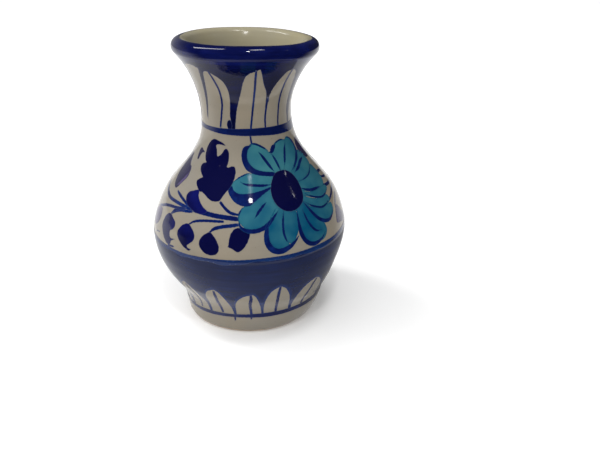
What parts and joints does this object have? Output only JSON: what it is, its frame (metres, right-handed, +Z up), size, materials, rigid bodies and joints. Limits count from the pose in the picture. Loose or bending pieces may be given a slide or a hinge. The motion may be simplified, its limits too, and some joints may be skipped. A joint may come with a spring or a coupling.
{
  "type": "pottery vase",
  "caption": "Hand-thrown glazed earthenware flower vase with a bellied body, narrow neck, rolled lip and painted cobalt and turquoise decoration.",
  "frame": {"origin": "centre of the foot ring, on the surface the vase stands on", "axes": "+Z up along the wheel axis; -Y towards the viewer, with the painted flower in front; +X to the viewer's right"},
  "size_m": [0.107, 0.107, 0.152],
  "materials": {
    "clay": "unglazed buff earthenware, bare on the foot ring",
    "slip": "dried clay slip inside the luted joints",
    "liner_glaze": "glossy opaque off-white glaze with a faint green-grey cast",
    "outer_glaze": "glossy opaque grey-white tin glaze",
    "cobalt_glaze": "glossy cobalt blue, pooled darker in the crease",
    "cobalt_paint": "brushed cobalt under a gloss glaze, streaked along the brush",
    "turquoise": "brushed turquoise under a gloss glaze",
    "indigo": "brushed dark blue under a gloss glaze"
  },
  "bodies": {
    "root": {"clay_foot": "clay", "clay_lip_roll": "clay", "clay_lower_belly": "clay", "clay_neck": "clay", "clay_shoulder": "clay", "cobalt_belly_band": "cobalt_paint", "cobalt_flower_eyes": "cobalt_paint", "cobalt_foot_line": "cobalt_paint", "cobalt_foot_petal_ribs": "cobalt_paint", "cobalt_lip_glaze": "cobalt_glaze", "cobalt_neck_ground": "cobalt_paint", "cobalt_neck_petal_ribs": "cobalt_paint", "cobalt_neck_ring": "cobalt_paint", "cobalt_stems": "cobalt_paint", "indigo_bean_leaves": "indigo", "indigo_buds": "indigo", "indigo_lobed_leaves": "indigo", "slip_joint_foot": "slip", "slip_joint_lip": "slip", "slip_joint_neck": "slip", "slip_joint_waist": "slip", "turquoise_flower_petals": "turquoise", "white_liner_glaze": "liner_glaze", "white_outer_glaze": "outer_glaze"}
  },
  "joints": []
}
